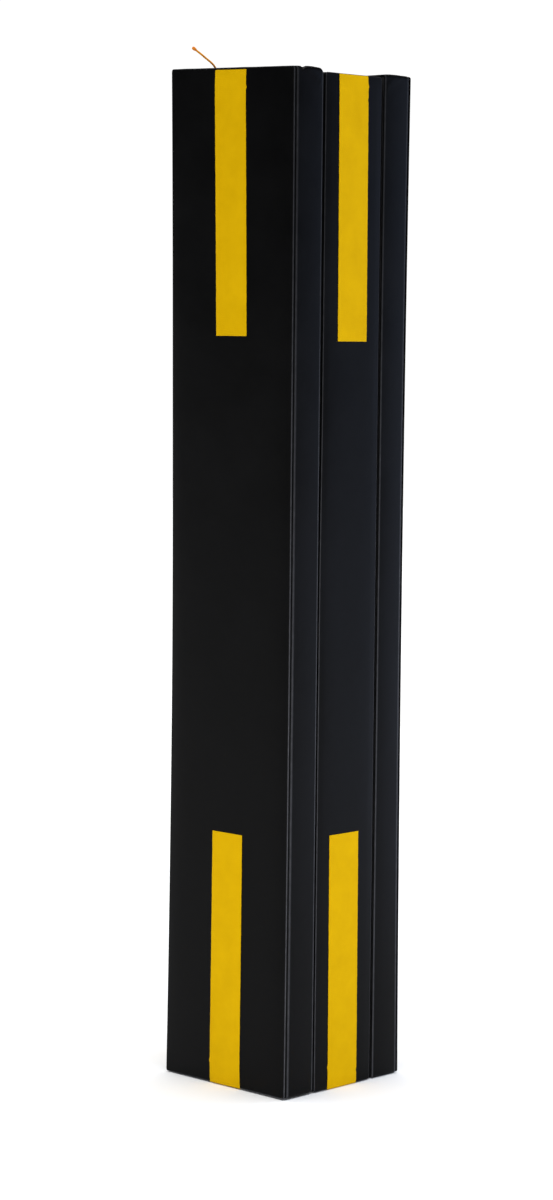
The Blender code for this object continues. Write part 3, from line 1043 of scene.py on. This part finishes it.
def soft_light(name, azimuth, elevation, distance, size, power, colour=(1, 1, 1)):
    """A large rectangular light aimed at the middle of the object."""
    back = towards(math.radians(azimuth), math.radians(elevation))
    data = bpy.data.lights.new(name, "AREA")
    data.shape = "RECTANGLE"
    data.size, data.size_y = size
    data.energy = power
    data.color = colour
    light = bpy.data.objects.new(name, data)
    light.location = Vector((0, 0, (WHOLE.top + WHOLE.low) / 2)) + back * distance
    light.rotation_mode = "QUATERNION"
    light.rotation_quaternion = back.to_track_quat("Z", "Y")
    bpy.context.scene.collection.objects.link(light)


def skylight():
    """One even, very soft light from above, so the floor is equally bright all over."""
    data = bpy.data.lights.new("skylight", "SUN")
    data.energy = 3.9
    data.angle = math.radians(70)
    bpy.context.scene.collection.objects.link(bpy.data.objects.new("skylight", data))


def make_world():
    """A white surround for the camera, which lights the object more dimly than it looks."""
    world = bpy.data.worlds.new("studio")
    bpy.context.scene.world = world
    world.use_nodes = True
    tree = world.node_tree
    seen = tree.nodes["Background"]
    seen.inputs["Color"].default_value = (1, 1, 1, 1)
    seen.inputs["Strength"].default_value = 1.05
    dim = tree.nodes.new("ShaderNodeBackground")
    dim.inputs["Color"].default_value = (0.92, 0.95, 1, 1)
    dim.inputs["Strength"].default_value = 0.16
    path = tree.nodes.new("ShaderNodeLightPath")
    mix = tree.nodes.new("ShaderNodeMixShader")
    tree.links.new(path.outputs["Is Camera Ray"], mix.inputs["Fac"])
    tree.links.new(dim.outputs["Background"], mix.inputs[1])
    tree.links.new(seen.outputs["Background"], mix.inputs[2])
    tree.links.new(mix.outputs["Shader"], tree.nodes["World Output"].inputs["Surface"])


def make_floor():
    """A plain pale floor that reaches far past the object."""
    sides = ((-1, -1), (1, -1), (1, 1), (-1, 1))
    points = [(x * FLOOR_HALF, y * FLOOR_HALF, -FLOOR_DROP) for x, y in sides]
    material, tree, shader = new_material("pale_floor", 0.9, Specular_IOR_Level=0.1)
    tone = texture(tree, "ShaderNodeTexNoise", 2, Detail=2.0)
    colour_between(tree, shader, tone.outputs["Fac"], *FLOOR_WHITE)
    floor = new_piece("floor", points, [(0, 1, 2, 3)], material, smooth=False)


def make_stage():
    """A plain studio: an even light from above, four low key lights and smaller ones that fill in."""
    bpy.context.scene.view_settings.view_transform = "Standard"
    make_world()
    make_floor()
    skylight()
    for azimuth, power in KEY_LIGHTS.items():
        soft_light(f"key_{azimuth}", azimuth, elevation=-5, distance=3.9, size=(1.6, 0.5), power=power)
    soft_light("left_fill", -64, elevation=-4, distance=1.9, size=(0.7, 0.9), power=0.9)
    soft_light("low_fill", 37, elevation=-22, distance=1.28, size=(0.8, 0.22), power=3.1)
    blue = (0.50, 0.64, 1)
    soft_light("right_fill", 150, elevation=6, distance=1.3, size=(0.6, 1.5), power=5.8, colour=blue)


# -------- assembly


def make_pad(name, seed, looks):
    """All six pieces of one pad."""
    pad = pad_space(name)
    swell = cloth_swell(pad, seed)

    def face_swell(x, z):
        return sampled(swell, pad, x, z)

    def inner_swell(x, z):
        middle = (pad.left + pad.right) / 2
        window = np.clip(1 - ((x - middle) / JOINT_Y) ** 2, 0, 1) ** 2
        along = (z - pad.low) / (pad.top - pad.low)
        return INNER_SWELL * window * np.clip(1 - (2 * along - 1) ** 8, 0, 1)

    body = f"{name}_pad"
    pieces = {
        "face_panel": (make_face_panel(pad, face_swell, looks["vinyl"], seed), "black_vinyl"),
        "inner_panel": (make_inner_panel(pad, inner_swell, looks["backing"]), "backing_vinyl"),
        "edge_band": (make_band(pad, looks["vinyl"], seed), "black_vinyl"),
        "foam_core": (make_core(pad, looks["foam"]), "foam"),
        "top_tape": (make_tape(pad, "top", swell, looks["tape"], seed + 2), "yellow_tape"),
        "bottom_tape": (make_tape(pad, "bottom", swell, looks["tape"], seed + 5), "yellow_tape"),
    }
    for node, (piece, slot) in pieces.items():
        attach(piece, body)
        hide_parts(f"{body}_{node}")


def make_pull():
    """The cord and its tip."""
    orange = cord_material("orange_cord_fibre", *ORANGE, roughness=0.65, specular=0.12)
    melted = cord_material("melted_cord", *MELTED_ORANGE, roughness=0.42, specular=0.2)
    cord, line = make_cord(orange)
    tip = make_tip(line, melted)


def main():
    make_camera()
    make_pull()
    looks = {
        "vinyl": vinyl_material("black_vinyl_grain", *FACE_BLACK, roughness=0.35, specular=0.055),
        "backing": vinyl_material("backing_vinyl_grain", *BACKING_BLACK, roughness=0.58, specular=0.3),
        "foam": foam_material(),
        "tape": tape_material(),
    }
    for seed, name in enumerate(PADS, start=1):
        make_pad(name, seed * 10, looks)
    hinge_vinyl = vinyl_material("hinge_vinyl_grain", *HINGE_BLACK, roughness=0.8, specular=0.01)
    for carrier, child in HINGES:
        make_hinge_strip(carrier, child, hinge_vinyl)
    pile = pile_material()
    make_closure_strip("loop", "front_pad", 1, pile, 3)
    make_closure_strip("hook", "left_pad", -1, pile, 4)
    make_stage()


main()
